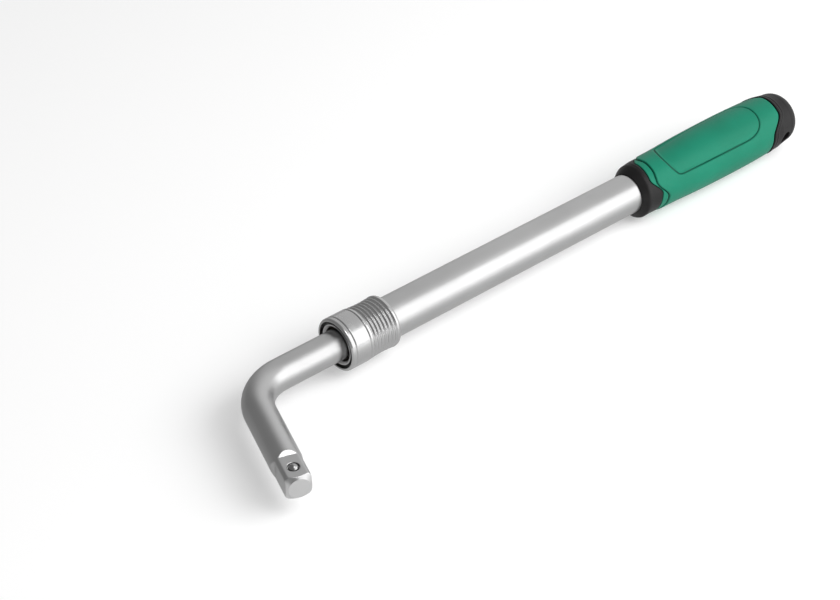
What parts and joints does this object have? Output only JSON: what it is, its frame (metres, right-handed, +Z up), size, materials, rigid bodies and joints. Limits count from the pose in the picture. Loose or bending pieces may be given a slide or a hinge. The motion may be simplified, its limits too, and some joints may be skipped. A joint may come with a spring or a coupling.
{
  "type": "lug wrench",
  "caption": "Telescopic L-shaped wheel wrench: bent round bar with a half-inch square drive, ball-lock release collar, sliding tube handle and two-part rubber grip.",
  "frame": {"origin": "centre of the end face of the square drive", "axes": "+X along the handle towards its butt, +Z up and square to the plane of the L, the drive arm points to -Y"},
  "size_m": [0.4064, 0.0882, 0.033],
  "materials": {
    "satin_chrome_bar": "satin chrome plated forged bar",
    "satin_chrome_tube": "satin chrome plated drawn tube",
    "satin_chrome_collar": "satin chrome plated turned collar",
    "polished_steel": "hardened and polished",
    "spring_steel": "drawn spring wire and strip",
    "plain_steel": "plain zinc plated",
    "bronze_bush": "sintered bronze",
    "guide_nylon": "natural nylon",
    "seal_rubber": "nitrile rubber",
    "black_plastic": "fine-textured charcoal plastic",
    "green_rubber": "matt green thermoplastic rubber"
  },
  "bodies": {
    "handle": {"outer_tube": "satin_chrome_tube", "nose_bush": "bronze_bush", "bush_pin": "polished_steel", "collar_stop_ring": "spring_steel", "spring_seat": "plain_steel", "seat_snap_ring": "spring_steel", "collar_spring": "spring_steel", "grip_core": "black_plastic", "grip_cover": "green_rubber", "end_cap": "black_plastic"},
    "guide": {"guide_piston": "guide_nylon", "guide_o_ring": "seal_rubber", "thrust_washer": "plain_steel"},
    "bar": {"drive_bar": "satin_chrome_bar", "detent_spring": "spring_steel", "bar_retaining_ring": "spring_steel"},
    "detent": {"detent_ball": "polished_steel"},
    "collar": {"release_collar": "satin_chrome_collar"},
    "ball_1": {"lock_ball_1": "polished_steel"},
    "ball_2": {"lock_ball_2": "polished_steel"},
    "ball_3": {"lock_ball_3": "polished_steel"}
  },
  "joints": [
    {"name": "telescope", "type": "slide", "parent": "handle", "child": "guide", "axis": [-1, 0, 0], "range_m": [0, 0.17]},
    {"name": "bar_swivel", "type": "hinge", "parent": "guide", "child": "bar", "pos_m": [0.02409, 0.06997, 0], "axis": [1, 0, 0], "continuous": true},
    {"name": "detent_press", "type": "slide", "parent": "bar", "child": "detent", "axis": [0, 0, -1], "range_m": [0, 0.00125], "stiffness_N_per_m": 2000, "springref_m": -0.002, "deforming": ["detent_spring"]},
    {"name": "collar_slide", "type": "slide", "parent": "handle", "child": "collar", "axis": [-1, 0, 0], "range_m": [0, 0.004], "stiffness_N_per_m": 800, "springref_m": 0.008, "deforming": ["collar_spring"]},
    {"name": "lock_ball_1_slide", "type": "slide", "parent": "handle", "child": "ball_1", "axis": [0, 0.866, -0.5], "range_m": [0, 0.00115]},
    {"name": "lock_ball_2_slide", "type": "slide", "parent": "handle", "child": "ball_2", "axis": [0, 0, 1], "range_m": [0, 0.00115]},
    {"name": "lock_ball_3_slide", "type": "slide", "parent": "handle", "child": "ball_3", "axis": [0, -0.866, -0.5], "range_m": [0, 0.00115]}
  ],
  "couplings": [
    {"joint": "lock_ball_1_slide", "follows": "collar_slide", "ratio": 0.2875},
    {"joint": "lock_ball_2_slide", "follows": "collar_slide", "ratio": 0.2875},
    {"joint": "lock_ball_3_slide", "follows": "collar_slide", "ratio": 0.2875}
  ]
}
